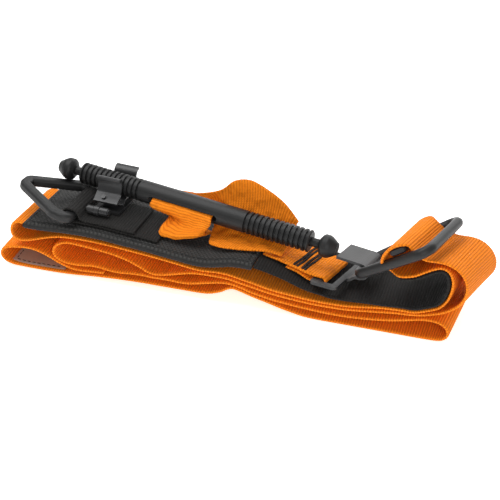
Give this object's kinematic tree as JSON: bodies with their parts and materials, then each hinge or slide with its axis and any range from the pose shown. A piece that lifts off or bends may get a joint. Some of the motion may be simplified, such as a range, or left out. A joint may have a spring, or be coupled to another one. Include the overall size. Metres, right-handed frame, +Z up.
{
  "type": "windlass tourniquet, folded",
  "caption": "Windlass tourniquet stowed folded: long webbing in an accordion under a padded base, with a windlass rod, tri ring, windlass clip and hook buckle.",
  "frame": {"origin": "centre of the folded bundle in plan, at the height of the surface it lies on", "axes": "+X along the folded strap towards the buckle, +Y across the strap towards the packed back edges, +Z up out of the pad"},
  "size_m": [0.222, 0.0434, 0.0486],
  "materials": {
    "orange_webbing": "ribbed woven nylon webbing",
    "black_mesh": "woven mesh",
    "black_webbing": "ribbed woven nylon webbing",
    "label_cloth": "plain woven label, blank",
    "black_anodised": "satin black anodised",
    "black_moulded": "semi-matt moulded",
    "black_sheet_metal": "black coated, worn edges",
    "black_coated_wire": "black coated round bar",
    "bright_rivet": "dark steel",
    "dark_thread": "bonded sewing thread"
  },
  "bodies": {
    "strap_bundle": {"main_strap": "orange_webbing", "pad_sleeve": "black_mesh", "base_webbing": "black_webbing", "label_patch": "label_cloth", "keeper_webbing": "black_webbing", "clip_base": "black_sheet_metal", "clip_rear_jaw": "black_sheet_metal", "clip_rear_rivets": "black_sheet_metal", "clip_pin": "bright_rivet", "hook_plate": "black_sheet_metal", "inner_band": "orange_webbing", "hook_tab": "orange_webbing", "tab_tacks": "dark_thread", "sleeve_bartack": "dark_thread"},
    "windlass": {"windlass_rod": "black_anodised"},
    "ring": {"tri_ring": "black_moulded"},
    "clip_jaw": {"clip_front_jaw": "black_sheet_metal", "clip_tang": "black_sheet_metal", "clip_tang_rivet": "bright_rivet"},
    "buckle": {"buckle_frame": "black_coated_wire"},
    "slider": {"slider_bar": "black_sheet_metal"}
  },
  "joints": [
    {"name": "windlass_lift", "type": "slide", "parent": "strap_bundle", "child": "windlass", "axis": [0.0425, 0.1457, 0.9884], "range_m": [0, 0.016], "deforming": ["inner_band"]},
    {"name": "ring_hinge", "type": "hinge", "parent": "strap_bundle", "child": "ring", "pos_m": [-0.07472, -0.00249, 0.02957], "axis": [0, 0.9893, -0.1458], "range_deg": [-18, 0.2]},
    {"name": "clip_jaw_hinge", "type": "hinge", "parent": "strap_bundle", "child": "clip_jaw", "pos_m": [-0.06456, -0.00812, 0.03158], "axis": [0.999, -0.02, -0.04], "range_deg": [0, 70]},
    {"name": "buckle_swing", "type": "hinge", "parent": "strap_bundle", "child": "buckle", "pos_m": [0.05758, -0.00169, 0.02158], "axis": [0.208, 0.9568, -0.203], "range_deg": [-30, 4], "deforming": ["main_strap"]},
    {"name": "slider_travel", "type": "slide", "parent": "buckle", "child": "slider", "axis": [0.8102, -0.0523, 0.5837], "range_m": [-0.008, 0.006], "deforming": ["main_strap"]}
  ]
}
